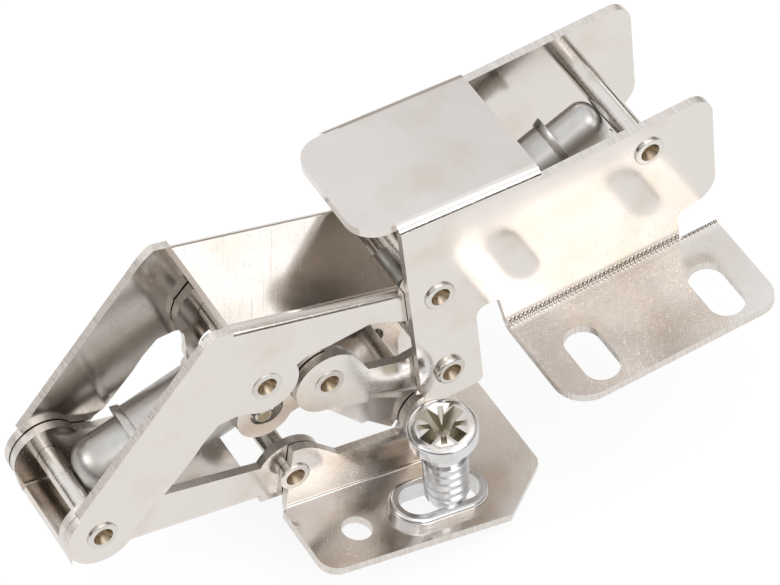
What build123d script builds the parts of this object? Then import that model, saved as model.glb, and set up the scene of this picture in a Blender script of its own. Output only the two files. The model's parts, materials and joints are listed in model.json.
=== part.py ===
from build123d import *
import math
import os

# Sprung cabinet hinge, shown closed. Millimetres, +Z up.
# The outlines are drawn in the XZ plane of the hinge's middle, with X = 0 at the left end of the
# cabinet flanges and Z = 0 on their upper face. Every piece is moved at the end so that the origin
# is the middle of the slot pair next to the leg, on the flanges' mounting face.

# Sheet and the nested layers, from the outside in
bracket_sheet = 1.2
link_sheet = 1.2
bracket_width = 20.0
side_play = 0.15
bend_inner = 0.35
run_play = 0.05

# Pivots, each as X and Z
r1_x, r1_z = 21.54, 18.75
r2_x, r2_z = -8.75, 11.64
r3_x, r3_z = -8.64, -2.69
r4_x, r4_z = -32.31, 9.04
r5_x, r5_z = -24.23, 3.93
r6_x, r6_z = -32.80, 2.10
r7_x, r7_z = -30.77, -9.89
r8_x, r8_z = -56.66, -2.87
b1_x, b1_z = -11.30, -11.30
p1_x, p1_z = -9.50, 5.80

# Axles and their hollow rivet heads
axle_d = 3.0
spring_axle_d = 3.2
spring_pin_d = 2.4
head_d = 4.1
head_rise = 0.35
low_head_rise = 0.1
head_hollow_d = 2.6
head_hollow_depth = 1.0

# Slack holes, each with its shift from its pivot
open_hole_d = 5.8
open_hole_x, open_hole_z = -1.18, 0.26
pin_hole_d = 4.6
pin_hole_x, pin_hole_z = 0.42, 0.87
upper_eye_hole_d = 3.2
upper_eye_shift = 0.27

# Cabinet bracket
leg_left = -12.75
leg_right = -4.10
leg_foot = -8.0
leg_round = 3.2
leg_foot_round = 1.0
relief_top = 5.7
relief_right = -0.8
flange_length = 30.6
flange_reach = 25.5
flange_bend_end = 25.5
wall_right = 30.8
wall_right_foot = 5.0
wall_foot_round = 3.6
wall_top_round = 2.8
plate_right = 6.7
plate_left = -17.5
plate_half = 8.7
plate_rise_deg = 4.7
plate_z = 24.6
plate_corner = 3.8
plate_end_over = 0.4
flange_corner_left = 4.5
flange_corner_right = 3.0
slot_width = 4.8
slot_length = 9.3
slot_1_x = 6.35
slot_2_x = 24.5
slot_y = 19.65

# Bridge arm
arm_lobe = 4.7
arm_web_left_x, arm_web_left_z = -35.2, 21.2
arm_web_slope_deg = 19.2
arm_web_length = 23.6

# Round ends of the links
link_lobe = 4.6
crossing_lobe = 4.3
door_end_lobe = 4.0

# Door bracket, whose plate is drawn in its own plane and tilted
door_tilt_deg = 12.9
door_x, door_z = -33.2, -15.0
door_length = 34.2
door_reach = 22.0
door_wall_start = 0.6
door_wall_end = 26.2
door_window_end = 27.4
door_hole_d = 4.0
door_hole_s, door_hole_y = 7.0, 15.4
bush_s, bush_y = 18.7, 15.5
bush_length, bush_width = 13.6, 7.4
bush_slot_length, bush_slot_width = 11.2, 4.9
bush_rise = 1.5
bush_round = 0.6

# Adjusting screw, which stands in its collar's slot at a slant to the plate
screw_s = 20.2
screw_lean_deg = 11.2
screw_top = 14.5
screw_head_d = 9.0
screw_side = 2.0
screw_taper = 1.3
screw_neck_d = 5.3
screw_neck = 2.2
thread_d = 5.9
thread_pitch = 1.5
thread_depth = 0.55
thread_turns = 5
screw_tip = 1.3

# Spring units, each a round-nosed cup that slides in a sleeve, measured along from its axle
cup_wall = 0.6
cup_play = 0.06
sleeve_wall = 0.65
wire_d = 0.9
wire_play = 0.25
lower_cup_d = 8.7
lower_cup_length = 11.5
lower_cup_nose = 3.0
lower_sleeve_start = 9.4
lower_sleeve_end = 21.3
lower_turns = 9
upper_cup_d = 6.3
upper_cup_length = 14.0
upper_cup_nose = 2.0
upper_sleeve_start = 7.9
upper_sleeve_end = 25.2
upper_turns = 13
upper_seat_drop = 1.4
eye_round = 2.8
lower_eye_round = 2.1
tongue_half = 2.8
sleeve_floor = 1.0

# Derived widths
a_out = bracket_width / 2
a_in = a_out - bracket_sheet
l1_out = a_in - side_play
l1_in = l1_out - link_sheet
l2_out = l1_in - side_play
l2_in = l2_out - link_sheet

r1 = (r1_x, r1_z)
r2 = (r2_x, r2_z)
r3 = (r3_x, r3_z)
r4 = (r4_x, r4_z)
r5 = (r5_x, r5_z)
r6 = (r6_x, r6_z)
r7 = (r7_x, r7_z)
r8 = (r8_x, r8_z)
b1 = (b1_x, b1_z)
p1 = (p1_x, p1_z)
upper_tilt = math.atan2(r1_z - p1_z, r1_x - p1_x)
seat_1 = (r1_x + upper_seat_drop * math.sin(upper_tilt), r1_z - upper_seat_drop * math.cos(upper_tilt))


def near(pivot, dx, dz):
    """A point given from a pivot."""
    return (pivot[0] + dx, pivot[1] + dz)


def disc(pivot, diameter):
    return Pos(pivot[0], pivot[1]) * Circle(diameter / 2)


def outline(*points):
    return make_face(Polyline(*points, close=True))


def rounded(*corners):
    """A closed outline whose corners are (x, z, radius)."""
    face = outline(*[(c[0], c[1]) for c in corners])
    for x, z, radius in corners:
        if radius > 0:
            corner = face.vertices().sort_by_distance((x, z, 0))[0]
            face = fillet(corner, radius)
    return face


def slab(face, y0, y1):
    """The XZ outline between two Y planes."""
    return extrude(Plane.XZ.offset(-y1) * face, amount=y1 - y0)


def both_walls(face, outer, inner):
    return slab(face, inner, outer) + slab(face, -outer, -inner)


def channel(start, angle, length, half, sheet, depth):
    """A folded U that runs from start at an angle; its web's outer face is on the left of the run."""
    a = math.radians(angle)
    plane = Plane(origin=(start[0], 0, start[1]), x_dir=(0, 1, 0), z_dir=(math.cos(a), 0, math.sin(a)))
    outer = Pos(0, -depth / 2) * Rectangle(2 * half, depth)
    outer = fillet(outer.vertices().group_by(Axis.Y)[-1], bend_inner + sheet)
    inner = Pos(0, -sheet - depth / 2) * Rectangle(2 * (half - sheet), depth)
    inner = fillet(inner.vertices().group_by(Axis.Y)[-1], bend_inner)
    return extrude(plane * (outer - inner), amount=length)


def zone(start, angle, length, half, above, below):
    """A box along a run, used to part a link's webbed stretch from its flat ends."""
    frame = Pos(start[0], 0, start[1]) * Rot(0, -angle, 0)
    box = Box(length, 2 * half, above + below, align=(Align.MIN, Align.CENTER, Align.MIN))
    return frame * Pos(0, 0, -below) * box


def folded(face, outer, sheet, start, angle, length, depth):
    """A link with two walls and a web between them."""
    webbed = slab(face, -outer, outer) & channel(start, angle, length, outer, sheet, depth)
    walls = both_walls(face, outer, outer - sheet)
    return walls - zone(start, angle, length, outer + 1, depth, depth) + webbed


def cross_hole(pivot, diameter, half=bracket_width):
    return slab(disc(pivot, diameter), -half, half)


def headed(rod, pivot, side, outer, rise):
    """The rod with a hollow riveted head on one outer face."""
    base = Pos(pivot[0], side * outer, pivot[1]) * Rot(-90 * side, 0, 0)
    head = Cylinder(head_d / 2, rise, align=(Align.CENTER, Align.CENTER, Align.MIN))
    head = fillet(head.edges().group_by(Axis.Z)[-1], rise * 0.6)
    hollow = Cone(head_hollow_d * 0.3, head_hollow_d / 2, head_hollow_depth,
                  align=(Align.CENTER, Align.CENTER, Align.MIN))
    return rod + base * head - base * Pos(0, 0, rise - head_hollow_depth) * hollow


def axle(pivot, diameter, outer, rise):
    """A pin through both walls with a head on each side."""
    rod = slab(disc(pivot, diameter), -outer, outer)
    return headed(headed(rod, pivot, -1, outer, rise), pivot, 1, outer, rise)


def wall_rivet(pivot, side, outer, sheet, rise):
    """A short rivet that ends at the inner face of one wall."""
    rod = slab(disc(pivot, axle_d), *sorted((side * outer, side * (outer - sheet))))
    return headed(rod, pivot, side, outer, rise)


def flush_pin(pivot, diameter, outer):
    """A plain pin with slightly rounded ends."""
    pin = slab(disc(pivot, diameter), -outer, outer)
    return chamfer(pin.edges().filter_by(GeomType.CIRCLE), 0.25)


def cabinet_bracket():
    """Walls with a leg, a folded top plate and two slotted flanges."""
    rise = math.tan(math.radians(plate_rise_deg))
    bend_outer = bend_inner + bracket_sheet
    wall_top = plate_z - bend_outer
    left_top = plate_z + (plate_right - leg_left) * rise
    face = rounded(
        (leg_left, leg_foot, leg_round), (leg_right, leg_foot, leg_foot_round),
        (leg_right, relief_top, 1.5), (relief_right, relief_top, 0.8), (0, bend_inner, 0),
        (flange_bend_end - 0.3, bend_inner, 0), (flange_bend_end - 0.3, wall_right_foot, 1.2),
        (wall_right, wall_right_foot, wall_foot_round), (wall_right, wall_top, wall_top_round),
        (plate_right, wall_top, 0), (plate_right, plate_z, 0), (leg_left, left_top, 0))
    run = plate_right - leg_left
    length = run / math.cos(math.radians(plate_rise_deg)) + plate_end_over
    start = (leg_left, left_top)
    web = channel(start, -plate_rise_deg, length, a_out, bracket_sheet, 60)
    top = slab(face, -a_out, a_out) & web
    walls = both_walls(face, a_out, a_in)
    body = walls - zone(start, -plate_rise_deg, length, a_out + 1, 20, 60)
    body = body + top + lip(start) + flanges()
    for pivot, d in ((r1, spring_axle_d), (r2, axle_d), (r3, axle_d)):
        body = body - cross_hole(pivot, d)
    return body


def lip(start):
    """The flat end of the top plate, past the leg."""
    over = (leg_left - plate_left) / math.cos(math.radians(plate_rise_deg))
    sheet = Pos(-over / 2 + 1, 0, -bracket_sheet / 2) * Box(over + 2, 2 * plate_half, bracket_sheet)
    corners = sheet.edges().filter_by(Axis.Z).group_by(Axis.X)[0]
    sheet = fillet(corners, plate_corner)
    return Pos(start[0], 0, start[1]) * Rot(0, plate_rise_deg, 0) * sheet


def flanges():
    """Both slotted flanges and the bends that carry them on the walls."""
    bend_outer = bend_inner + bracket_sheet
    inner_y = a_out + bend_inner
    plate = Pos(flange_length / 2, (inner_y + flange_reach) / 2) * Rectangle(
        flange_length, flange_reach - inner_y)
    outer = plate.vertices().group_by(Axis.Y)[-1].sort_by(Axis.X)
    plate = fillet(outer[0], flange_corner_left)
    right = plate.vertices().sort_by_distance((flange_length, flange_reach, 0))[0]
    plate = fillet(right, flange_corner_right)
    spare = Pos((flange_bend_end + flange_length) / 2, inner_y) * Rectangle(
        flange_length - flange_bend_end, 2 * bend_inner)
    plate = plate + spare
    for x in (slot_1_x, slot_2_x):
        plate = plate - Pos(x, slot_y) * Rot(0, 0, 90) * SlotOverall(slot_length, slot_width)
    sheet = extrude(plate, amount=-bracket_sheet)
    ring = Circle(bend_outer) - Circle(bend_inner)
    corner = Pos(-bend_outer / 2, -bend_outer / 2) * Rectangle(bend_outer, bend_outer)
    bend = Plane.YZ * Pos(inner_y, bend_inner) * (ring & corner)
    sheet = sheet + extrude(bend, amount=flange_bend_end - 0.3)
    return sheet + mirror(sheet, about=Plane.XZ)


def bridge_arm():
    """The long arm from the cabinet bracket's axle to the far axle."""
    web = (arm_web_left_x, arm_web_left_z)
    a = math.radians(arm_web_slope_deg)
    end = (web[0] + arm_web_length * math.cos(a), web[1] - arm_web_length * math.sin(a))
    over = (web[0] + 3 * math.sin(a), web[1] + 3 * math.cos(a))
    end_over = (end[0] + 3 * math.sin(a), end[1] + 3 * math.cos(a))
    face = outline(
        near(r8, -2.4, 4.9), (-39.3, 20.8), (-37.5, 21.9), web, over, end_over, end,
        near(r2, 4.2, 1.2), near(r2, 4.3, -1.6), near(p1, 3.4, -1.4), near(p1, 0.8, -3.3),
        near(p1, -2.2, -2.1), (-12.5, 7.9), (-16.2, 10.2), (-17.9, 10.9), (-23.5, 10.7),
        near(r5, -2.3, 6.9), near(r5, -4.1, 6.2), near(r5, -5.2, 4.4), near(r5, -5.5, 2.0),
        near(r4, 0.8, -4.4), near(r4, -2.3, -3.6), near(r4, -4.6, -2.7), (-39.3, 6.4),
        (-41.6, 4.6), (-43.2, 2.9), (-47.9, -1.2), (-49.4, -1.7), (-54.3, -6.6), near(r8, 0.4, 0))
    face = face + disc(r8, 2 * arm_lobe) + disc(r2, 8.6) + disc(p1, 6.2) + disc(r4, 8.8)
    part = folded(face, l1_out, link_sheet, web, -arm_web_slope_deg, arm_web_length, 40)
    for pivot, d in ((r2, axle_d + 2 * run_play), (r4, axle_d), (r8, axle_d), (p1, spring_pin_d)):
        part = part - cross_hole(pivot, d)
    return part


def control_link():
    """The short folded link from the bracket's leg to the crossing link."""
    face = outline(
        near(r5, 3.6, 2.9), (-18.8, 2.9), (-14.3, 1.2), near(r3, 0, 4.4), near(r3, 0, -4.4),
        (-11.9, -6.8), (-22.1, -1.8), near(r5, -1.6, -4.3))
    face = face + disc(r5, 2 * link_lobe) + disc(r3, 2 * link_lobe)
    start = (-13.0, -6.27)
    part = folded(face, l1_out, link_sheet, start, 180 - 26.1, 7.4, 14)
    part = part - cross_hole(r5, axle_d)
    return part - cross_hole(near(r3, open_hole_x, open_hole_z), open_hole_d)


def crossing_link():
    """The wide link that crosses from the arm to the door bracket."""
    face = outline(
        (-36.2, 3.4), (-36.2, 11.8), (-34.0, 13.7), near(r4, 3.6, 3.2), near(r5, 2.6, 3.0),
        near(r5, 3.8, 0), near(r5, 3.8, -7.0), near(b1, -2.6, 3.8), near(b1, 3.0, 3.0),
        near(b1, 0.4, -4.2),
        (-15.1, -12.2), (-20.2, -8.3), (-24.5, -2.4), (-27.9, 0.6), (-29.7, 0.3), (-34.2, -0.9))
    face = face + disc(r4, 2 * link_lobe) + disc(r5, 8.0) + disc(near(r6, 0.2, 0.4), 7.8)
    face = face + disc(b1, 2 * crossing_lobe)
    face = face - Pos(-20.0, -13.6) * Circle(5.2)
    part = both_walls(face, l2_out, l2_in)
    part = part + crossing_web()
    for pivot in (r4, r5, b1):
        part = part - cross_hole(pivot, axle_d + 2 * run_play)
    return part - cross_hole(near(r6, pin_hole_x, pin_hole_z), pin_hole_d)


def crossing_web():
    """The strip that ties the crossing link's walls, along its lower edge near the door bracket."""
    start = near(b1, -5.0, -0.6)
    strip = Box(4.6, 2 * l2_out - 0.2, link_sheet, align=(Align.MAX, Align.CENTER, Align.MIN))
    return Pos(start[0], 0, start[1]) * Rot(0, 48, 0) * strip


def door_link():
    """The folded link from the far axle to the door bracket."""
    face = outline(
        near(r8, 0, 4.2), (-50.0, -2.2), near(r7, -3.6, 2.6), near(r7, 0, 4.4), near(r7, 0, -4.6),
        (-35.0, -13.6), (-60.9, -7.25), near(r8, -4.55, 0))
    face = face + disc(r7, 2 * link_lobe) + disc(r8, 2 * link_lobe)
    start = (-35.4, -13.45)
    part = folded(face, l2_out, link_sheet, start, 180 - 13.8, 26.2, 20)
    for pivot in (r7, r8):
        part = part - cross_hole(pivot, axle_d + 2 * run_play)
    return part


def door_frame():
    """The door bracket's own plane: its X runs down along the plate from the left edge."""
    return Pos(door_x, 0, door_z) * Rot(0, door_tilt_deg, 0)


def on_door(point):
    """A point of the XZ plane, in the door plate's own plane."""
    a = math.radians(door_tilt_deg)
    dx, dz = point[0] - door_x, point[1] - door_z
    return (dx * math.cos(a) - dz * math.sin(a), dx * math.sin(a) + dz * math.cos(a))


def door_bracket():
    """The plate with two wings, and the two walls that carry the links."""
    bend_outer = bend_inner + link_sheet
    inner_y = l1_out + bend_inner
    right_half = 15.2
    half = make_face(Polyline(
        (0, inner_y), (0, door_reach - 1.6), (door_wall_end, door_reach - 0.6),
        (door_length - 0.4, right_half), (door_length, right_half - 0.8), (door_length, 0),
        (door_window_end, 0), (door_window_end, inner_y), close=True))
    corner = half.vertices().sort_by_distance((0, door_reach - 1.6, 0))[0]
    half = fillet(corner, 2.6)
    half = half - Pos(door_hole_s, door_hole_y) * Circle(door_hole_d / 2)
    half = half - Pos(bush_s, bush_y) * SlotOverall(bush_length, bush_width)
    sheet = extrude(half, amount=-link_sheet)
    ring = Circle(bend_outer) - Circle(bend_inner)
    quarter = Pos(-bend_outer / 2, -bend_outer / 2) * Rectangle(bend_outer, bend_outer)
    bend = Plane.YZ.offset(door_wall_start) * Pos(inner_y, bend_inner) * (ring & quarter)
    sheet = sheet + extrude(bend, amount=door_wall_end - door_wall_start)
    wall = door_wall()
    sheet = sheet + wall
    part = sheet + mirror(sheet, about=Plane.XZ)
    for point in (r7, b1):
        s, n = on_door(point)
        bore = Pos(s, 0, n) * Rot(90, 0, 0) * Cylinder(axle_d / 2, 2 * bracket_width)
        part = part - bore
    return door_frame() * part


def door_wall():
    """One wall of the door bracket, in the plate's own plane."""
    s7, n7 = on_door(r7)
    s1, n1 = on_door(b1)
    foot = bend_inner
    face = outline(
        (door_wall_start, foot), (door_wall_start, n7 + 1.4), (s7 + 0.4, n7 + 4.6),
        (s7 + 3.0, n7 + 3.6), (s7 + 6.2, n7 + 1.2), (s1 - 4.4, n1 - 1.8), (s1 - 3.0, n1 + 2.4),
        (s1, n1 + 3.9), (s1 + 3.0, n1 + 2.4), (s1 + 4.6, n1 - 1.4), (door_wall_end, foot))
    face = face + Pos(s7, n7) * Circle(link_lobe) + Pos(s1, n1) * Circle(door_end_lobe)
    trim = Pos(door_wall_start - 10, 10) * Rectangle(20, 40)
    face = face - trim
    below = Pos(s7, foot - 10) * Rectangle(80, 20)
    face = face - below
    return extrude(Plane.XZ.offset(-l1_out) * face, amount=link_sheet)


def screw_bush(side):
    """An obround collar pressed into the wing, with a slot through it for the screw's tip."""
    body = extrude(SlotOverall(bush_length, bush_width), amount=bush_rise + link_sheet)
    body = fillet(body.edges().group_by(Axis.Z)[-1], bush_round)
    slot = extrude(SlotOverall(bush_slot_length, bush_slot_width), amount=bush_rise + link_sheet)
    return door_frame() * Pos(bush_s, side * bush_y, -link_sheet) * (body - slot)


def adjusting_screw(side):
    """A cheese-headed screw with a cross recess and a machine thread."""
    r = screw_head_d / 2
    top = screw_top
    side_foot = top - screw_side
    neck_top = side_foot - screw_taper
    neck_foot = neck_top - screw_neck
    crest = thread_d / 2
    root = crest - thread_depth
    points = [(0, top), (r - 0.5, top), (r, top - 0.4), (r, side_foot), (r - 0.5, side_foot - 0.5),
              (screw_neck_d / 2, neck_top), (screw_neck_d / 2, neck_foot)]
    for turn in range(thread_turns):
        z = neck_foot - turn * thread_pitch
        points += [(crest, z - 0.4 * thread_pitch), (crest, z - 0.55 * thread_pitch)]
        points += [(root, z - 0.95 * thread_pitch), (root, z - thread_pitch)]
    tip = neck_foot - thread_turns * thread_pitch - screw_tip
    points += [(root, tip + 0.3), (root - 0.3, tip), (0, tip)]
    body = revolve(Plane.XZ * make_face(Polyline(*points, close=True)), axis=Axis.Z)
    for turn in (0, 90):
        slot = Rot(0, 0, turn) * cross_cut()
        body = body - Pos(0, 0, top) * slot
    for turn in (45, 135):
        tick = Rot(0, 0, turn) * Box(screw_head_d * 0.62, 0.35, 0.5)
        body = body - Pos(0, 0, top) * tick
    return door_frame() * Pos(screw_s, side * bush_y, 0) * Rot(0, -screw_lean_deg, 0) * body


def cross_cut():
    """One tapered arm pair of the cross recess, cut down from the head's top."""
    wide = screw_head_d * 0.62
    high = Rectangle(wide, 1.15)
    low = Pos(0, 0, -2.0) * Rectangle(wide * 0.42, 0.8)
    return loft([low, high])


def spring_frame(start, end):
    """A frame at start whose Z runs to end."""
    a = math.degrees(math.atan2(end[1] - start[1], end[0] - start[0]))
    return Pos(start[0], 0, start[1]) * Rot(0, 90 - a, 0)


def upright(radius, length, foot):
    """A cylinder along Z from its foot."""
    return Pos(0, 0, foot) * Cylinder(radius, length, align=(Align.CENTER, Align.CENTER, Align.MIN))


def spring_cup(start, end, seat_d, diameter, length, nose_round):
    """A round-nosed cup whose nose seats against the axle."""
    nose = seat_d / 2 + run_play
    outer = upright(diameter / 2, length, nose)
    outer = fillet(outer.edges().group_by(Axis.Z)[0], nose_round)
    inner = upright(diameter / 2 - cup_wall, length, nose + cup_wall)
    inner = fillet(inner.edges().group_by(Axis.Z)[0], nose_round - cup_wall)
    return spring_frame(start, end) * (outer - inner)


def spring_sleeve(start, end, diameter, first, last, round_d, hole_d, shift):
    """A sleeve over the cup, closed at its far end, with a tongue that ends in an eye."""
    reach = math.dist(start, end)
    bore_r = diameter / 2 + cup_play
    tube = upright(bore_r + sleeve_wall, last - first, first)
    tube = fillet(tube.edges().group_by(Axis.Z)[-1], sleeve_wall)
    tube = tube - upright(bore_r, last - first - sleeve_floor, first)
    tongue = Box(2 * round_d * 0.8, 2 * tongue_half, reach - last + sleeve_floor,
                 align=(Align.CENTER, Align.CENTER, Align.MIN))
    tongue = Pos(0, 0, last - sleeve_floor) * tongue
    eye = Pos(0, 0, reach) * Rot(90, 0, 0) * Cylinder(round_d, 2 * tongue_half)
    hole = Pos(-shift, 0, reach) * Rot(90, 0, 0) * Cylinder(hole_d / 2, 4 * tongue_half)
    return spring_frame(start, end) * (tube + tongue + eye - hole)


def coil(start, end, seat_d, cup_diameter, nose_round, last, turns):
    """A compression spring inside a cup and its sleeve."""
    first = seat_d / 2 + run_play + cup_wall + 0.65 * (nose_round - cup_wall)
    length = last - sleeve_floor - 0.1 - first - wire_d
    radius = cup_diameter / 2 - cup_wall - wire_d / 2 - wire_play
    path = Helix(pitch=length / turns, height=length, radius=radius)
    plane = Plane(origin=path @ 0, z_dir=path % 0)
    wire = sweep(plane * Circle(wire_d / 2), path=path)
    return spring_frame(start, end) * Pos(0, 0, first + wire_d / 2) * wire


def build():
    """Every node by name."""
    door_rise = 3 * low_head_rise
    return {
        "cabinet_bracket": cabinet_bracket(),
        "bridge_arm": bridge_arm(),
        "control_link": control_link(),
        "crossing_link": crossing_link(),
        "door_link": door_link(),
        "door_bracket": door_bracket(),
        "spring_axle": axle(r1, spring_axle_d, a_out, head_rise),
        "arm_axle": axle(r2, axle_d, a_out, head_rise),
        "control_axle": axle(r3, axle_d, a_out, 2 * head_rise),
        "crossing_axle": axle(r4, axle_d, l1_out, low_head_rise),
        "link_axle": axle(r5, axle_d, l1_out, low_head_rise),
        "door_axle": axle(r7, axle_d, l1_out, door_rise),
        "arm_end_axle": axle(r8, axle_d, l1_out, door_rise),
        "near_door_rivet": wall_rivet(b1, -1, l1_out, link_sheet, low_head_rise),
        "far_door_rivet": wall_rivet(b1, 1, l1_out, link_sheet, low_head_rise),
        "lower_spring_pin": flush_pin(r6, spring_pin_d, l2_out),
        "upper_spring_pin": flush_pin(p1, spring_pin_d, l1_out),
        "lower_spring_cup": spring_cup(r8, r6, axle_d, lower_cup_d, lower_cup_length, lower_cup_nose),
        "lower_spring_sleeve": spring_sleeve(
            r8, r6, lower_cup_d, lower_sleeve_start, lower_sleeve_end, lower_eye_round, spring_pin_d, 0),
        "lower_spring": coil(r8, r6, axle_d, lower_cup_d, lower_cup_nose, lower_sleeve_end, lower_turns),
        "upper_spring_cup": spring_cup(
            seat_1, p1, spring_axle_d, upper_cup_d, upper_cup_length, upper_cup_nose),
        "upper_spring_sleeve": spring_sleeve(
            seat_1, p1, upper_cup_d, upper_sleeve_start, upper_sleeve_end, eye_round,
            upper_eye_hole_d, upper_eye_shift),
        "upper_spring": coil(
            seat_1, p1, spring_axle_d, upper_cup_d, upper_cup_nose, upper_sleeve_end, upper_turns),
        "near_screw_bush": screw_bush(-1),
        "far_screw_bush": screw_bush(1),
        "near_adjusting_screw": adjusting_screw(-1),
        "far_adjusting_screw": adjusting_screw(1),
    }


def main():
    os.makedirs("parts", exist_ok=True)
    seat = Pos(-slot_1_x, 0, bracket_sheet)
    for name, piece in build().items():
        export_step(seat * piece, "parts/" + name + ".step")


main()
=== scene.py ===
"""Looks of a sprung lift-door cabinet hinge, built around its CAD frame."""

import json
import math

import bpy
from mathutils import Matrix, Vector


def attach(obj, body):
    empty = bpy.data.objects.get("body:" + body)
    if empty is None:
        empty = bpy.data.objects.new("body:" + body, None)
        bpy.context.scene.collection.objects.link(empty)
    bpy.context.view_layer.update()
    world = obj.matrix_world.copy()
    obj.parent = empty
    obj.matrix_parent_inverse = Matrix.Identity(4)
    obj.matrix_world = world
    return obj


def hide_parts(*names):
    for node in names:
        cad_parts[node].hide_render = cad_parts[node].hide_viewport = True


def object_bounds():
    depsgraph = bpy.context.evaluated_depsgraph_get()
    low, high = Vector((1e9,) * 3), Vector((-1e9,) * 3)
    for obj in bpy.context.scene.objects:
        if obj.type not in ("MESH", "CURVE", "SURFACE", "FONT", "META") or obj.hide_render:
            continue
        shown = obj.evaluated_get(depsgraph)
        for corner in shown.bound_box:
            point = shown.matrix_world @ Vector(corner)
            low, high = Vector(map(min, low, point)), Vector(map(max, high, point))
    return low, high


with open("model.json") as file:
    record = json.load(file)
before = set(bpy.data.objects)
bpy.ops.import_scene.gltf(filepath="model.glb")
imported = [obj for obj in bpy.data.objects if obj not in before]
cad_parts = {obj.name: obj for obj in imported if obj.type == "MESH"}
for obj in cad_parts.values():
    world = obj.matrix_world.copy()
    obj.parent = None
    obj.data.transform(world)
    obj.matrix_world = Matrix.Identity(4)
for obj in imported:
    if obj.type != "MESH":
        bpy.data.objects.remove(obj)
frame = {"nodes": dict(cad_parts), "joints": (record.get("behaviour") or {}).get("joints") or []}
cad_low, cad_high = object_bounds()

bl_info = {
    "name": "Sprung Cabinet Hinge",
    "version": (1, 0, 0),
    "blender": (4, 2, 0),
    "location": "View3D > Sidebar > Hinge",
    "description": "Plated finishes, adjusting screws and studio for a sprung cabinet hinge",
    "category": "Object",
}

MM = 0.001
TOOTH = 0.62 * MM

# Slack for picking faces and edges by their place
HAIR = 0.01 * MM

# Segments of the round parts, and of one turn of the thread
ROUND = 72
THREAD_ROUND = 48

# How far the screw flanges' shading normal leans, about four degrees
FLANGE_LEAN = 0.07

# How far a face may stray from a sheet's own planes and still be its cut edge, in millimetres
EDGE_SLACK = 0.06

# The hollow rivet heads: depth and radius that take the darker colour of painted shade, and the
# foot's radius
HOLLOW_REACH, HOLLOW_RADIUS, HOLLOW_FOOT = 1.4, 1.32, 0.7

# Turn of the cross recess against the screw's joint frame, in radians
RECESS_TURN = 0.35

# The folded sheets, each with its walls' inner and outer half widths in millimetres
SHEET_WALLS = {
    "cabinet_bracket": (8.8, 10.0),
    "bridge_arm": (7.45, 8.65),
    "control_link": (7.45, 8.65),
    "crossing_link": (6.1, 7.3),
    "door_link": (6.1, 7.3),
    "door_bracket": (7.45, 8.65),
}
SHEET_THICKNESS = 1.2

# Flat plates that stand out from the walls: X and Z of a point of the outer face in millimetres,
# and the tilt in degrees
SHEET_PLATES = {
    "cabinet_bracket": ((0.0, 1.2, 0.0), (-19.1, 27.4, -4.7)),
    "door_bracket": ((-39.55, -13.8, 12.9),),
}

# Spring sleeves: axis start and end in X and Z, distance to the mouth and outer radius, all in
# millimetres
SLEEVE_MOUTHS = {
    "lower": ((-63.01, -1.67), (-39.15, 3.30), 9.4, 5.06),
    "upper": ((15.729, 18.658), (-15.85, 7.0), 7.9, 3.86),
}

AXLES = (
    "spring_axle", "arm_axle", "control_axle", "crossing_axle", "link_axle", "door_axle",
    "arm_end_axle", "near_door_rivet", "far_door_rivet", "lower_spring_pin", "upper_spring_pin",
)
SPRING_CASES = (
    "lower_spring_cup", "lower_spring_sleeve", "upper_spring_cup", "upper_spring_sleeve",
)
SPRINGS = ("lower_spring", "upper_spring")
BUSHES = ("near_screw_bush", "far_screw_bush")

# The studio floor: its side, its gap under the hinge, and how far out its glow starts and ends to
# fade in the metal, all in metres
FLOOR_SIDE = 6.0
FLOOR_GAP = 0.3 * MM
FLOOR_FADE = (0.14, 0.36)

# Strength of the floor's glow, and the glow's share where it is seen or mirrored
FLOOR_GLOW, FLOOR_GLOW_SHARE = 1.03, 0.85

# The sky's tones from the horizon up
HORIZON = (0.04, (0.08, 0.075, 0.07, 1.0))
SKY = (
    (0.20, (0.26, 0.23, 0.20, 1.0)),
    (0.42, (0.66, 0.63, 0.60, 1.0)),
    (0.62, (0.84, 0.84, 0.86, 1.0)),
)
ZENITH = (0.75, (1.10, 1.12, 1.15, 1.0))

# Lamps: place, then width and height, in metres, all aimed at one point
LAMP_AIM = (-0.02, 0.0, 0.0)
LAMPS = {
    "key": ((0.27, -0.84, 0.47), (0.7, 0.34)),
    "front": ((0.16, -0.40, 0.90), (0.75, 0.42)),
    "web": ((0.66, 0.59, 0.43), (0.34, 0.24)),
    "side": ((-0.75, 0.25, 0.65), (0.5, 0.5)),
}


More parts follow.
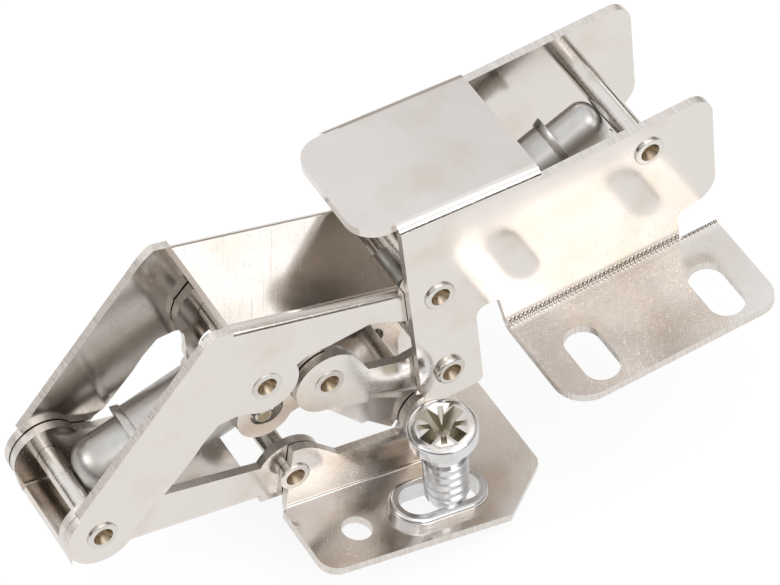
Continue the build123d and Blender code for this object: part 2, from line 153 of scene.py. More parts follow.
class FinishSettings(bpy.types.PropertyGroup):
    """Colours and polish of the plated metal."""

    nickel: bpy.props.FloatVectorProperty(
        name="Nickel", description="Colour of the plated sheet", subtype="COLOR",
        size=3, min=0.0, max=1.0, default=(0.735, 0.692, 0.652))
    axle: bpy.props.FloatVectorProperty(
        name="Axle nickel", description="Colour of the riveted axles", subtype="COLOR",
        size=3, min=0.0, max=1.0, default=(0.68, 0.65, 0.61))
    satin: bpy.props.FloatVectorProperty(
        name="Satin nickel", description="Colour of the drawn spring cases", subtype="COLOR",
        size=3, min=0.0, max=1.0, default=(0.52, 0.505, 0.485))
    # Painted shade: a darker brown for the faces deep in the rivet hollows, where shade falls
    hollow: bpy.props.FloatVectorProperty(
        name="Rivet hollow", description="Colour deep in the hollow rivet heads",
        subtype="COLOR", size=3, min=0.0, max=1.0, default=(0.42, 0.34, 0.25))
    wire: bpy.props.FloatVectorProperty(
        name="Spring wire", description="Colour of the oiled wire", subtype="COLOR",
        size=3, min=0.0, max=1.0, default=(0.42, 0.42, 0.43))
    zinc: bpy.props.FloatVectorProperty(
        name="Bright zinc", description="Colour of the screws and their collars", subtype="COLOR",
        size=3, min=0.0, max=1.0, default=(0.70, 0.70, 0.71))
    # Painted shade: a darker, browner zinc inside the cross recess, where shade falls
    recess: bpy.props.FloatVectorProperty(
        name="Recess", description="Colour inside the screws' cross recess", subtype="COLOR",
        size=3, min=0.0, max=1.0, default=(0.52, 0.49, 0.42))
    polish: bpy.props.FloatProperty(
        name="Roughness", description="Roughness of the plated sheet where it is cleanest",
        min=0.02, max=0.6, default=0.11)


class ScrewSettings(bpy.types.PropertyGroup):
    """Sizes of the adjusting screws."""

    head: bpy.props.FloatProperty(
        name="Head", description="Diameter of the head", unit="LENGTH", default=9.0 * MM)
    head_side: bpy.props.FloatProperty(
        name="Head side", description="Height of the head's straight side", unit="LENGTH",
        default=2.0 * MM)
    taper: bpy.props.FloatProperty(
        name="Taper", description="Height of the cone under the head", unit="LENGTH",
        default=1.3 * MM)
    neck: bpy.props.FloatProperty(
        name="Neck", description="Diameter of the plain neck", unit="LENGTH", default=5.3 * MM)
    neck_length: bpy.props.FloatProperty(
        name="Neck length", description="Length of the plain neck", unit="LENGTH",
        default=2.2 * MM)
    thread: bpy.props.FloatProperty(
        name="Thread", description="Diameter over the thread", unit="LENGTH", default=5.9 * MM)
    pitch: bpy.props.FloatProperty(
        name="Pitch", description="Rise of the thread in one turn", unit="LENGTH",
        default=1.5 * MM)
    depth: bpy.props.FloatProperty(
        name="Thread depth", description="Depth of the thread", unit="LENGTH",
        default=0.55 * MM)
    top: bpy.props.FloatProperty(
        name="Top", description="Height of the head above the wing", unit="LENGTH",
        default=14.5 * MM)
    thread_length: bpy.props.FloatProperty(
        name="Thread length", description="Length of the thread under the neck",
        unit="LENGTH", default=7.4 * MM)
    tip: bpy.props.FloatProperty(
        name="Tip", description="Length of the plain tip", unit="LENGTH", default=1.4 * MM)
    recess: bpy.props.FloatProperty(
        name="Recess", description="Width over the cross recess", unit="LENGTH",
        default=6.6 * MM)


class StageSettings(bpy.types.PropertyGroup):
    """Floor and lamps."""

    floor: bpy.props.FloatVectorProperty(
        name="Floor", description="Colour of the floor", subtype="COLOR", size=3, min=0.0,
        max=1.0, default=(0.9, 0.9, 0.9))
    key_power: bpy.props.FloatProperty(
        name="Key lamp", description="Power of the low front lamp", unit="POWER", default=2.3)
    front_power: bpy.props.FloatProperty(
        name="Front lamp", description="Power of the high front lamp", unit="POWER",
        default=1.6)
    web_power: bpy.props.FloatProperty(
        name="Web lamp", description="Power of the lamp the arm's web mirrors", unit="POWER",
        default=0.21)
    side_power: bpy.props.FloatProperty(
        name="Side lamp", description="Power of the side lamp", unit="POWER", default=2.2)


class Tree:
    """Adds nodes to one material or to the world."""

    def __init__(self, material):
        self.nodes = material.node_tree.nodes
        self.links = material.node_tree.links

    def add(self, kind, settings=None, **inputs):
        """A new node, with its own settings and its inputs, underscores standing for spaces."""
        node = self.nodes.new(kind)
        for name, value in (settings or {}).items():
            setattr(node, name, value)
        for name, value in inputs.items():
            self.put(node, name.replace("_", " "), value)
        return node

    def put(self, node, name, value):
        """Links a socket to an input, or sets it to a plain value."""
        socket = node.inputs[int(name) if name.isdigit() else name]
        if isinstance(value, bpy.types.NodeSocket):
            self.links.new(value, socket)
        else:
            socket.default_value = value

    def stretched(self, scale, turn=(0.0, 0.0, 0.0)):
        """Object coordinates, turned and scaled apart along each axis."""
        place = self.add("ShaderNodeTexCoord").outputs["Object"]
        turned = self.add("ShaderNodeMapping", Vector=place, Rotation=turn)
        return self.add("ShaderNodeMapping", Vector=turned.outputs[0], Scale=scale).outputs[0]

    def noise(self, scale, detail=3.0, turn=(0.0, 0.0, 0.0)):
        """Noise whose features per metre are given along each axis."""
        node = self.add("ShaderNodeTexNoise", Vector=self.stretched(scale, turn), Scale=1.0,
                        Detail=detail)
        return node.outputs[0]

    def spread(self, value, low, high, to_low, to_high):
        """The value, mapped from one range to another and held inside it."""
        node = self.add("ShaderNodeMapRange", Value=value)
        for name, number in (("From Min", low), ("From Max", high), ("To Min", to_low),
                             ("To Max", to_high)):
            node.inputs[name].default_value = number
        return node.outputs[0]

    def maths(self, operation, first, second=0.0):
        """One arithmetic step."""
        node = self.add("ShaderNodeMath", {"operation": operation})
        self.put(node, "0", first)
        self.put(node, "1", second)
        return node.outputs[0]

    def place(self):
        """Object coordinates, split into X, Y and Z."""
        return self.add("ShaderNodeSeparateXYZ", Vector=self.stretched((1.0, 1.0, 1.0))).outputs

    def tinted(self, colour, amount, factor):
        """The colour, darkened by up to amount where factor is 1."""
        node = self.add("ShaderNodeMix", {"data_type": "RGBA"})
        self.put(node, "0", factor)
        node.inputs[6].default_value = (*colour, 1.0)
        node.inputs[7].default_value = tuple(c * a for c, a in zip(colour, amount)) + (1.0,)
        return node.outputs[2]

    def bump(self, height, strength, distance, under=None):
        """A bumped normal, over another normal where one is given."""
        node = self.add("ShaderNodeBump", Height=height, Strength=strength, Distance=distance)
        if under is not None:
            self.put(node, "Normal", under)
        return node.outputs[0]


def metal(name):
    """A new all-metal material, its node tree and its shader."""
    material = bpy.data.materials.new(name)
    material.use_nodes = True
    shader = material.node_tree.nodes["Principled BSDF"]
    shader.inputs["Metallic"].default_value = 1.0
    return material, Tree(material), shader


def even(scale):
    """The same number of features per metre along each axis."""
    return (scale, scale, scale)


def scratches(tree, turn):
    """Sparse fine lines along one direction, from 0 to 1."""
    lines = tree.noise((5200.0, 90.0, 2600.0), 2.0, turn)
    return tree.spread(lines, 0.63, 0.70, 0.0, 1.0)


def sheet_nickel(name, settings, wave=0.35, tarnish=(0.90, 0.87, 0.80), toothed=False):
    """Bright nickel on rolled sheet: slight waves, cloudy polish and a few fine scratches."""
    material, tree, shader = metal(name)
    clouds = tree.noise(even(75.0), 4.0)
    specks = tree.noise(even(1500.0), 2.0)
    fine = tree.maths("ADD", scratches(tree, (0.3, 0.2, 0.5)), scratches(tree, (0.1, 0.9, -0.9)))
    rough = tree.spread(clouds, 0.35, 0.68, settings.polish, settings.polish + 0.10)
    rough = tree.maths("ADD", rough, tree.spread(specks, 0.4, 0.7, 0.0, 0.02))
    rough = tree.maths("ADD", rough, tree.maths("MULTIPLY", fine, 0.09))
    tree.put(shader, "Roughness", rough)
    stain = tree.spread(tree.noise(even(120.0), 5.0), 0.5, 0.8, 0.0, 1.0)
    tree.put(shader, "Base Color", tree.tinted(settings.nickel, tarnish, stain))
    leaning = over_bend(tree) if toothed else None
    waves = tree.bump(tree.noise(even(60.0), 1.0), 1.0, wave * 0.35 * MM, leaning)
    grain = tree.bump(specks, 0.012, 0.03 * MM, waves)
    normal = tree.bump(fine, 0.09, 0.02 * MM, grain)
    if toothed:
        normal = tree.bump(bend_teeth(tree), 1.0, 0.14 * MM, normal)
    tree.put(shader, "Normal", normal)
    return material


def over_bend(tree):
    """The surface normal, with the screw flanges leaning four degrees towards their walls."""
    place = tree.place()
    side = tree.maths("ABSOLUTE", place["Y"])
    out = tree.spread(side, 10.9 * MM, 11.5 * MM, 0.0, 1.0)
    low = tree.spread(place["Z"], 1.25 * MM, 1.4 * MM, 1.0, 0.0)
    flange = tree.maths("MULTIPLY", out, low)
    towards = tree.maths("MULTIPLY", tree.maths("SIGN", place["Y"]), -FLANGE_LEAN)
    lean = tree.add("ShaderNodeCombineXYZ", Y=tree.maths("MULTIPLY", flange, towards))
    surface = tree.add("ShaderNodeNewGeometry").outputs["Normal"]
    leaning = tree.add("ShaderNodeVectorMath", {"operation": "ADD"})
    tree.put(leaning, "0", surface)
    tree.put(leaning, "1", lean.outputs[0])
    unit = tree.add("ShaderNodeVectorMath", {"operation": "NORMALIZE"})
    tree.put(unit, "0", leaning.outputs[0])
    return unit.outputs[0]


def bend_teeth(tree):
    """Even tool marks along the upper half of the flanges' bends."""
    place = tree.place()
    side = tree.maths("ABSOLUTE", place["Y"])
    out = tree.spread(side, 10.48 * MM, 10.58 * MM, 1.0, 0.0)
    low = tree.spread(place["Z"], 2.0 * MM, 2.15 * MM, 1.0, 0.0)
    away = tree.spread(place["X"], -6.6 * MM, -6.3 * MM, 0.0, 1.0)
    mask = tree.maths("MULTIPLY", tree.maths("MULTIPLY", out, low), away)
    ridges = tree.maths("SINE", tree.maths("MULTIPLY", place["X"], 2 * math.pi / TOOTH))
    return tree.maths("MULTIPLY", mask, tree.spread(ridges, -1.0, 1.0, 0.0, 1.0))


def sheared_nickel(name, settings, scale):
    """A sheared or punched edge: plated lines across the sheet's thickness."""
    material, tree, shader = metal(name)
    lines = tree.noise(scale, 3.0)
    tree.put(shader, "Roughness", tree.spread(lines, 0.3, 0.7, 0.24, 0.42))
    shade = tree.spread(lines, 0.45, 0.75, 0.0, 1.0)
    tree.put(shader, "Base Color", tree.tinted(settings.nickel, (0.80, 0.78, 0.75), shade))
    tree.put(shader, "Normal", tree.bump(lines, 0.6, 0.09 * MM))
    return material


def turned_metal(name, colour, roughness, scale):
    """Plated round parts with faint drawing or turning lines."""
    material, tree, shader = metal(name)
    lines = tree.noise(scale, 2.0)
    clouds = tree.noise(even(220.0), 4.0)
    rough = tree.maths("ADD", tree.spread(clouds, 0.35, 0.7, roughness, roughness + 0.12),
                       tree.spread(lines, 0.4, 0.7, 0.0, 0.08))
    tree.put(shader, "Roughness", rough)
    stain = tree.spread(clouds, 0.48, 0.8, 0.0, 1.0)
    tree.put(shader, "Base Color", tree.tinted(colour, (0.80, 0.76, 0.68), stain))
    grain = tree.bump(lines, 0.15, 0.03 * MM)
    tree.put(shader, "Normal", tree.bump(clouds, 0.1, 0.1 * MM, grain))
    return material


def give(name, material):
    """Puts the material in every slot of a CAD node."""
    node = frame["nodes"][name]
    mesh = node.data
    if not mesh.materials:
        mesh.materials.append(material)
    for index in range(len(mesh.materials)):
        mesh.materials[index] = material
    return node


def wall_edge(corners, normal, inner, outer):
    """True for a face of a wall's own cut edge."""
    slack, square = 0.05, 0.02
    sides = [abs(c.y) / MM for c in corners]
    within = min(sides) > inner - slack and max(sides) < outer + slack
    return abs(normal.y) < square and within


def plate_edge(corners, normal, plate, outer):
    """True for a face of a flat plate's cut edge."""
    x0, z0, tilt = plate
    square, past_wall, facing_wall = 0.05, 0.2, 0.9
    turn = math.radians(tilt)
    up = Vector((math.sin(turn), 0.0, math.cos(turn)))
    if abs(normal.dot(up)) > square:
        return False
    heights = [(c / MM - Vector((x0, 0.0, z0))).dot(up) for c in corners]
    if min(heights) < -SHEET_THICKNESS - EDGE_SLACK or max(heights) > EDGE_SLACK:
        return False
    clear = min(abs(c.y) / MM for c in corners) > outer + past_wall
    return clear or abs(normal.y) < facing_wall


class HINGE_OT_sheets(bpy.types.Operator):
    """Plate the folded sheets in bright nickel, with sheared edges"""

    bl_idname = "hinge.sheets"
    bl_label = "Finish Folded Sheets"

    def execute(self, context):
        settings = context.scene.hinge_finish
        faces = {"bridge_arm": sheet_nickel("sheet_nickel", settings),
                 "cabinet_bracket": sheet_nickel("toothed_nickel", settings, toothed=True)}
        pressed = sheet_nickel("pressed_nickel", settings, wave=1.9, tarnish=(0.82, 0.73, 0.61))
        across_wall = sheared_nickel("wall_edge_nickel", settings, (6500.0, 300.0, 6500.0))
        across_plate = sheared_nickel("plate_edge_nickel", settings, (6500.0, 6500.0, 300.0))
        for name, (inner, outer) in SHEET_WALLS.items():
            node = give(name, faces.get(name, pressed))
            mesh = node.data
            mesh.materials.append(across_wall)
            mesh.materials.append(across_plate)
            wall_index = len(mesh.materials) - 2
            for polygon in mesh.polygons:
                corners = [mesh.vertices[i].co for i in polygon.vertices]
                if wall_edge(corners, polygon.normal, inner, outer):
                    polygon.material_index = wall_index
                elif any(plate_edge(corners, polygon.normal, plate, outer)
                         for plate in SHEET_PLATES.get(name, ())):
                    polygon.material_index = wall_index + 1
        return {"FINISHED"}


def in_rivet_hollow(polygon, low, high):
    """True for a face inside the hollow of a riveted head, which takes the painted shade, given
    the axle's own box.
    """
    away = (polygon.center - (low + high) / 2) / MM
    out = math.hypot(away.x, away.z)
    depth = min(polygon.center.y - low.y, high.y - polygon.center.y) / MM
    inward = away.x * polygon.normal.x + away.z * polygon.normal.z < 0.0
    foot = abs(polygon.normal.y) > 0.9 and out < HOLLOW_FOOT
    return depth < HOLLOW_REACH and out < HOLLOW_RADIUS and (inward or foot)


class HINGE_OT_axles(bpy.types.Operator):
    """Plate the riveted axles and the spring pins, with painted shade in the rivet hollows"""

    bl_idname = "hinge.axles"
    bl_label = "Finish Axles"

    def execute(self, context):
        settings = context.scene.hinge_finish
        material = turned_metal("axle_nickel", settings.axle, 0.16, (400.0, 5000.0, 400.0))
        # Painted shade: the faces deep in the rivet hollows take a darker, browner colour
        deep = turned_metal("hollow_nickel", settings.hollow, 0.24, even(1500.0))
        for name in AXLES:
            mesh = give(name, material).data
            mesh.materials.append(deep)
            last = len(mesh.materials) - 1
            low = Vector([min(v.co[i] for v in mesh.vertices) for i in range(3)])
            high = Vector([max(v.co[i] for v in mesh.vertices) for i in range(3)])
            for polygon in mesh.polygons:
                if in_rivet_hollow(polygon, low, high):
                    polygon.material_index = last
        return {"FINISHED"}


class HINGE_OT_spring_units(bpy.types.Operator):
    """Finish the spring cups, sleeves and springs"""

    bl_idname = "hinge.spring_units"
    bl_label = "Finish Spring Units"

    def execute(self, context):
        settings = context.scene.hinge_finish
        satin = turned_metal("satin_nickel", settings.satin, 0.26, (3000.0, 300.0, 600.0))
        wire = turned_metal("spring_wire", settings.wire, 0.34, even(900.0))
        for name in SPRING_CASES:
            give(name, satin)
        for name in SPRINGS:
            give(name, wire)
        for name, (start, end, along, radius) in SLEEVE_MOUTHS.items():
            sleeve_mouth(name, satin, start, end, along, radius)
        return {"FINISHED"}


def pick(piece, kind, test):
    """Selects in edit mode the faces or edges that pass the test."""
    bpy.ops.object.mode_set(mode="EDIT")
    bpy.ops.mesh.select_mode(type=kind)
    bpy.ops.mesh.select_all(action="DESELECT")
    bpy.ops.object.mode_set(mode="OBJECT")
    mesh = piece.data
    if kind == "FACE":
        for face in mesh.polygons:
            face.select = test(face.center, face.normal)
    else:
        for edge in mesh.edges:
            ends = [mesh.vertices[i].co for i in edge.vertices]
            edge.select = all(test(end) for end in ends)
    bpy.ops.object.mode_set(mode="EDIT")


def apply_modifier(piece, kind, **settings):
    """Adds one modifier to the piece and applies it."""
    modifier = piece.modifiers.new(kind.lower(), kind)
    for name, value in settings.items():
        setattr(modifier, name, value)
    bpy.context.view_layer.objects.active = piece
    bpy.ops.object.modifier_apply(modifier=modifier.name)


def settle(piece, place):
    """Puts the finished shape at its place, with its object left at the origin."""
    bpy.ops.object.mode_set(mode="OBJECT")
    bpy.ops.object.select_all(action="DESELECT")
    piece.select_set(True)
    bpy.context.view_layer.objects.active = piece
    piece.matrix_world = place
    bpy.ops.object.transform_apply(location=True, rotation=True, scale=True)


def screw_head(settings):
    """The head, its cone and its neck, drawn down from one round bar."""
    r = settings.head / 2
    bpy.ops.object.select_all(action="DESELECT")
    bpy.ops.mesh.primitive_cylinder_add(
        vertices=ROUND, radius=r, depth=settings.head_side,
        location=(0.0, 0.0, settings.top - settings.head_side / 2))
    bpy.ops.object.transform_apply(location=True)
    head = bpy.context.object
    foot = settings.top - settings.head_side
    chamfer = 0.5 * MM
    run_in = 0.4 * MM
    steps = ((chamfer, r - chamfer), (settings.taper - chamfer, settings.neck / 2),
             (settings.neck_length - run_in, settings.neck / 2),
             (run_in, settings.thread / 2 + HAIR))
    radius = r
    for drop, wide in steps:
        pick(head, "FACE", lambda c, n: n.z < -0.9 and c.z < foot + HAIR)
        bpy.ops.mesh.extrude_region_move(TRANSFORM_OT_translate={"value": (0.0, 0.0, -drop)})
        ratio = wide / radius
        bpy.ops.transform.resize(value=(ratio, ratio, 1.0), center_override=(0.0, 0.0, 0.0))
        radius = wide
        foot = foot - drop
    top = settings.top
    pick(head, "EDGE", lambda c: c.z > top - HAIR and c.xy.length > r - HAIR)
    bpy.ops.mesh.bevel(offset=0.55 * MM, segments=5, affect="EDGES")
    bpy.ops.object.mode_set(mode="OBJECT")
    return head, foot


def helical_thread(settings, top):
    """The thread: one rib's outline wound down round the axis and cut square at both ends."""
    crest = settings.thread / 2
    root = crest - settings.depth
    shoulder = crest - 0.1 * MM
    pitch = settings.pitch
    rib = ((root, 0.0), (root, 0.05), (shoulder, 0.38), (crest, 0.46), (crest, 0.52),
           (shoulder, 0.60), (root, 0.93), (root, 1.0))
    bpy.ops.object.select_all(action="DESELECT")
    bpy.ops.mesh.primitive_circle_add(vertices=len(rib), radius=root)
    thread = bpy.context.object
    for vertex, (x, share) in zip(thread.data.vertices, rib):
        vertex.co = (x, 0.0, top + pitch - share * pitch)
    last = {0, len(rib) - 1}
    closing = [e.index for e in thread.data.edges if set(e.vertices) == last]
    bpy.ops.object.mode_set(mode="EDIT")
    bpy.ops.mesh.select_mode(type="EDGE")
    bpy.ops.mesh.select_all(action="DESELECT")
    bpy.ops.object.mode_set(mode="OBJECT")
    for index in closing:
        thread.data.edges[index].select = True
    bpy.ops.object.mode_set(mode="EDIT")
    bpy.ops.mesh.delete(type="EDGE")
    bpy.ops.object.mode_set(mode="OBJECT")
    turns = math.ceil(settings.thread_length / pitch) + 2
    apply_modifier(thread, "SCREW", axis="Z", screw_offset=-pitch, iterations=turns,
                   steps=THREAD_ROUND, render_steps=THREAD_ROUND, use_smooth_shade=True)
    bpy.ops.object.mode_set(mode="EDIT")
    bpy.ops.mesh.select_all(action="SELECT")
    bpy.ops.mesh.remove_doubles(threshold=0.002 * MM)
    for height, outward in ((top, 1.0), (top - settings.thread_length, -1.0)):
        bpy.ops.mesh.select_all(action="SELECT")
        bpy.ops.mesh.bisect(plane_co=(0.0, 0.0, height), plane_no=(0.0, 0.0, outward),
                            use_fill=True, clear_outer=True)
    bpy.ops.mesh.select_all(action="DESELECT")
    bpy.ops.mesh.select_non_manifold()
    bpy.ops.mesh.fill()
    bpy.ops.mesh.select_all(action="SELECT")
    bpy.ops.mesh.normals_make_consistent(inside=False)
    bpy.ops.object.mode_set(mode="OBJECT")
    return thread


def screw_tip(settings, top):
    """The plain tip under the thread, with a broken edge."""
    radius = settings.thread / 2 - settings.depth
    bpy.ops.object.select_all(action="DESELECT")
    within = 0.5 * MM
    bpy.ops.mesh.primitive_cylinder_add(
        vertices=THREAD_ROUND, radius=radius, depth=settings.tip + within,
        location=(0.0, 0.0, top - (settings.tip - within) / 2))
    bpy.ops.object.transform_apply(location=True)
    tip = bpy.context.object
    pick(tip, "EDGE", lambda c: c.z < top - settings.tip + HAIR)
    bpy.ops.mesh.bevel(offset=0.3 * MM, segments=3, affect="EDGES")
    bpy.ops.object.mode_set(mode="OBJECT")
    return tip


def cut(piece, mouth, foot, depth, turn, top):
    """Cuts one tapered bar across the head: its length and width at the mouth and at the foot."""
    wide = [2 * m - f for m, f in zip(mouth, foot)]
    bpy.ops.object.select_all(action="DESELECT")
    bpy.ops.mesh.primitive_cube_add(size=1.0)
    bar = bpy.context.object
    bar.scale = (wide[0], wide[1], 2 * depth)
    bpy.ops.object.transform_apply(scale=True)
    pick(bar, "FACE", lambda c, n: n.z < -0.9)
    bpy.ops.transform.resize(value=(foot[0] / wide[0], foot[1] / wide[1], 1.0),
                             center_override=(0.0, 0.0, 0.0))
    settle(bar, Matrix.Translation((0.0, 0.0, top)) @ Matrix.Rotation(turn, 4, "Z"))
    apply_modifier(piece, "BOOLEAN", operation="DIFFERENCE", object=bar, solver="EXACT")
    bpy.data.objects.remove(bar)


def adjusting_screw(settings, bright, dull, deep):
    """One screw, upright at the origin of its own axis."""
    head, foot = screw_head(settings)
    top = settings.top
    wide = settings.recess
    main_arms = ((wide, 1.7 * MM), (2.2 * MM, 1.1 * MM), 2.3 * MM)
    thin_arms = ((wide * 0.92, 0.75 * MM), (1.6 * MM, 0.05 * MM), 1.3 * MM)
    for turn in (0.0, math.pi / 2):
        cut(head, *main_arms, turn + RECESS_TURN, top)
    for turn in (math.pi / 4, -math.pi / 4):
        cut(head, *thin_arms, turn + RECESS_TURN, top)
    head.data.materials.append(bright)
    head.data.materials.append(deep)
    # Painted shade: faces sunk in the cross recess take the darker recess colour
    bottom, rim, reach = top - 2.5 * MM, top - 0.15 * MM, 3.6 * MM
    for face in head.data.polygons:
        sunk = bottom < face.center.z < rim
        face.material_index = int(sunk and face.center.xy.length < reach)
    thread = helical_thread(settings, foot)
    tip = screw_tip(settings, foot - settings.thread_length)
    for part in (thread, tip):
        part.data.materials.append(dull)
    bpy.ops.object.select_all(action="DESELECT")
    for part in (thread, tip, head):
        part.select_set(True)
    bpy.context.view_layer.objects.active = head
    bpy.ops.object.join()
    bpy.ops.object.shade_smooth_by_angle(angle=math.radians(34.0))
    return head


def upright_along(axis, place):
    """A frame at place whose Z runs along the axis."""
    turn = Vector((0.0, 0.0, 1.0)).rotation_difference(axis).to_matrix().to_4x4()
    return Matrix.Translation(place) @ turn


def joint_place(name):
    """A frame on a joint's own axis."""
    joint = next(j for j in frame["joints"] if j["name"] == name)
    return upright_along(Vector(joint["axis"]).normalized(), Vector(joint["pos_m"]))


class HINGE_OT_screws(bpy.types.Operator):
    """Model the two adjusting screws and finish their collars"""

    bl_idname = "hinge.screws"
    bl_label = "Model Adjusting Screws"

    def execute(self, context):
        finish = context.scene.hinge_finish
        material = turned_metal("bright_zinc", finish.zinc, 0.12, (900.0, 900.0, 3000.0))
        for name in BUSHES:
            give(name, material)
        dull = turned_metal("thread_zinc", finish.zinc, 0.27, (900.0, 900.0, 3000.0))
        # Painted shade: the darker zinc for the faces sunk in the cross recess
        deep = turned_metal("recess_zinc", finish.recess, 0.25, even(900.0))
        screw = adjusting_screw(context.scene.hinge_screw, material, dull, deep)
        spare = screw.copy()
        spare.data = screw.data.copy()
        context.collection.objects.link(spare)
        for piece, side in ((screw, "near"), (spare, "far")):
            piece.name = side + "_cross_recess_screw"
            settle(piece, joint_place(side + "_screw_turn"))
            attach(piece, side + "_screw")
            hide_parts(side + "_adjusting_screw")
        return {"FINISHED"}


def sleeve_mouth(name, material, start, end, along, radius):
    """The flared lip at a spring sleeve's open end."""
    length, flare_out, wall, sunk = 1.1, 0.32, 0.28, 0.45
    bpy.ops.object.select_all(action="DESELECT")
    bpy.ops.mesh.primitive_cylinder_add(vertices=ROUND, radius=radius * MM, depth=length * MM,
                                        end_fill_type="NOTHING")
    lip = bpy.context.object
    pick(lip, "EDGE", lambda c: c.z < 0.0)
    flare = 1.0 + flare_out / radius
    bpy.ops.transform.resize(value=(flare, flare, 1.0), center_override=(0.0, 0.0, 0.0))
    bpy.ops.object.mode_set(mode="OBJECT")
    apply_modifier(lip, "SOLIDIFY", thickness=wall * MM, offset=1.0)
    apply_modifier(lip, "BEVEL", width=0.09 * MM, segments=3)
    bpy.ops.object.shade_smooth_by_angle(angle=math.radians(50.0))
    way = Vector((end[0] - start[0], 0.0, end[1] - start[1])).normalized()
    mouth = Vector((start[0], 0.0, start[1])) + way * (along + sunk)
    settle(lip, upright_along(way, mouth * MM))
    lip.name = name + "_sleeve_lip"
    lip.data.materials.append(material)
    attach(lip, name + "_sleeve")


def placed(right, above, back, place):
    """A frame at place with its X, Y and Z along the three directions."""
    turn = Matrix((right, above, back)).transposed().to_4x4()
    return Matrix.Translation(Vector(place)) @ turn


def look_matrix(place, aim):
    """A frame at place whose -Z looks at aim and whose X is level."""
    back = (Vector(place) - Vector(aim)).normalized()
    right = Vector((0.0, 0.0, 1.0)).cross(back).normalized()
    return placed(right, back.cross(right), back, place)


def studio_floor(settings, height):
    """A pale floor, white to the camera and near the hinge in the metal, that keeps the shadow."""
    bpy.ops.mesh.primitive_plane_add(size=FLOOR_SIDE, location=(0.0, 0.0, height))
    floor = bpy.context.object
    floor.name = "studio_floor"
    material = bpy.data.materials.new("studio_floor")
    material.use_nodes = True
    tree = Tree(material)
    shader = tree.nodes["Principled BSDF"]
    shader.inputs["Base Color"].default_value = (*settings.floor, 1.0)
    shader.inputs["Roughness"].default_value = 0.8
    glow = tree.add("ShaderNodeEmission", Strength=FLOOR_GLOW)
    path = tree.add("ShaderNodeLightPath")
    place = tree.add("ShaderNodeTexCoord").outputs["Object"]
    far = tree.add("ShaderNodeVectorMath", {"operation": "LENGTH"})
    tree.put(far, "0", place)
    near = tree.spread(far.outputs["Value"], *FLOOR_FADE, 1.0, 0.1)
    mirrored = tree.maths("MULTIPLY", path.outputs["Is Glossy Ray"], near)
    seen = tree.maths("MAXIMUM", path.outputs["Is Camera Ray"], mirrored)
    seen = tree.maths("MAXIMUM", seen, path.outputs["Is Transmission Ray"])
    blend = tree.add("ShaderNodeMixShader")
    tree.put(blend, "0", tree.maths("MULTIPLY", seen, FLOOR_GLOW_SHARE))
    tree.put(blend, "1", shader.outputs[0])
    tree.put(blend, "2", glow.outputs[0])
    tree.links.new(blend.outputs[0], tree.nodes["Material Output"].inputs[0])
    floor.data.materials.append(material)


def studio_world():
    """A pale, patchy sky over a dark horizon in the metal, and plain white to the camera."""
    world = bpy.data.worlds.new("studio")
    bpy.context.scene.world = world
    world.use_nodes = True
    tree = Tree(world)
    sky = tree.nodes["Background"]
    way = tree.add("ShaderNodeTexCoord").outputs["Generated"]
    parts = tree.add("ShaderNodeSeparateXYZ", Vector=way)
    height = parts.outputs["Z"]
    patches = tree.add("ShaderNodeTexNoise", Vector=way, Scale=3.4, Detail=2.0)
    soft = tree.spread(patches.outputs[0], 0.36, 0.64, -0.22, 0.22)
    lower = tree.spread(height, 0.3, 0.85, 1.0, 0.15)
    front = tree.spread(parts.outputs["Y"], -0.75, -0.25, -0.14, 0.0)
    shifted = tree.maths("ADD", height, tree.maths("MULTIPLY", soft, lower))
    ramp = tree.add("ShaderNodeValToRGB", Fac=tree.maths("ADD", shifted, front))
    stops = ramp.color_ramp.elements
    stops[0].position, stops[0].color = HORIZON
    stops[1].position, stops[1].color = ZENITH
    for position, colour in SKY:
        stops.new(position).color = colour
    path = tree.add("ShaderNodeLightPath")
    shown = tree.add("ShaderNodeMix", {"data_type": "RGBA"})
    tree.put(shown, "0", path.outputs["Is Camera Ray"])
    tree.put(shown, "6", ramp.outputs[0])
    shown.inputs[7].default_value = (1.0, 1.0, 1.0, 1.0)
    tree.put(sky, "Color", shown.outputs[2])
    sky.inputs["Strength"].default_value = 1.0


def lamp(name, place, aim, size, power):
    """A soft rectangular lamp, its width and height given in metres."""
    bpy.ops.object.light_add(type="AREA")
    light = bpy.context.object
    light.name = name
    light.matrix_world = look_matrix(place, aim)
    light.data.shape = "RECTANGLE"
    light.data.size, light.data.size_y = size
    light.data.energy = power


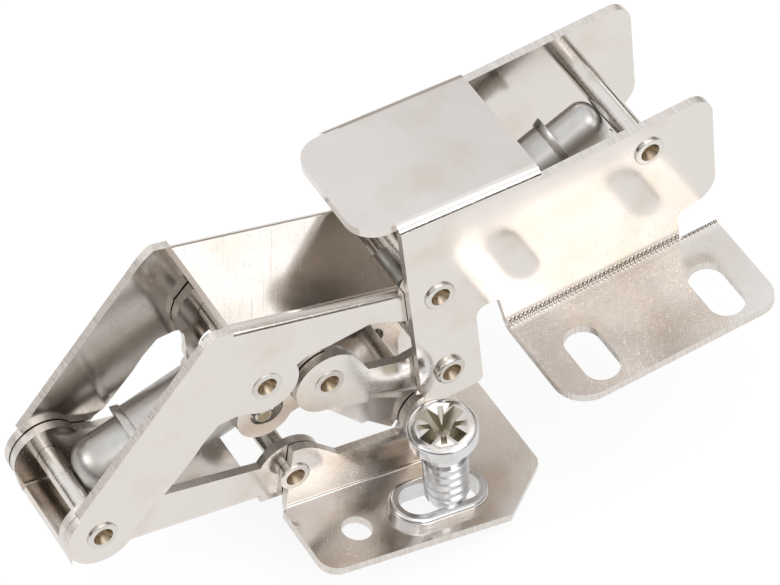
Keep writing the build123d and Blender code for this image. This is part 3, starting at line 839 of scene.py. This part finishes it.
def camera():
    """The photograph's own view, worked out from the hinge's known directions."""
    bpy.ops.object.camera_add()
    eye = bpy.context.object
    eye.name = "photo_camera"
    right = Vector((0.8638, -0.4962, -0.0874))
    above = Vector((0.4312, 0.6383, 0.6376))
    back = Vector((-0.2606, -0.5885, 0.7654))
    place = (-0.148963, -0.297763, 0.391986)
    eye.matrix_world = placed(right, above, back, place)
    eye.data.sensor_width = 36.0
    eye.data.lens = 188.29
    eye.data.clip_start = 0.01
    eye.data.clip_end = 20.0
    bpy.context.scene.camera = eye


class HINGE_OT_stage(bpy.types.Operator):
    """Set up the floor, the lamps and the camera"""

    bl_idname = "hinge.stage"
    bl_label = "Set Up Studio"

    def execute(self, context):
        settings = context.scene.hinge_stage
        bpy.ops.object.select_all(action="DESELECT")
        studio_floor(settings, cad_low.z - FLOOR_GAP)
        studio_world()
        for name, (place, size) in LAMPS.items():
            lamp(name + "_lamp", place, LAMP_AIM, size, getattr(settings, name + "_power"))
        camera()
        context.scene.view_settings.view_transform = "Standard"
        return {"FINISHED"}


class HINGE_PT_panel(bpy.types.Panel):
    """The hinge's steps"""

    bl_idname = "HINGE_PT_panel"
    bl_label = "Sprung Cabinet Hinge"
    bl_space_type = "VIEW_3D"
    bl_region_type = "UI"
    bl_category = "Hinge"

    def draw(self, context):
        for step in STEPS:
            self.layout.operator(step.bl_idname)
        for group in (context.scene.hinge_finish, context.scene.hinge_screw,
                      context.scene.hinge_stage):
            box = self.layout.box()
            for name in type(group).__annotations__:
                box.prop(group, name)


STEPS = (HINGE_OT_sheets, HINGE_OT_axles, HINGE_OT_spring_units, HINGE_OT_screws, HINGE_OT_stage)
CLASSES = (FinishSettings, ScrewSettings, StageSettings, *STEPS, HINGE_PT_panel)


def register():
    for cls in CLASSES:
        bpy.utils.register_class(cls)
    bpy.types.Scene.hinge_finish = bpy.props.PointerProperty(type=FinishSettings)
    bpy.types.Scene.hinge_screw = bpy.props.PointerProperty(type=ScrewSettings)
    bpy.types.Scene.hinge_stage = bpy.props.PointerProperty(type=StageSettings)


def unregister():
    del bpy.types.Scene.hinge_stage
    del bpy.types.Scene.hinge_screw
    del bpy.types.Scene.hinge_finish
    for cls in reversed(CLASSES):
        bpy.utils.unregister_class(cls)


def main():
    """Runs every step."""
    register()
    bpy.ops.hinge.sheets()
    bpy.ops.hinge.axles()
    bpy.ops.hinge.spring_units()
    bpy.ops.hinge.screws()
    bpy.ops.hinge.stage()


if __name__ == "__main__":
    main()
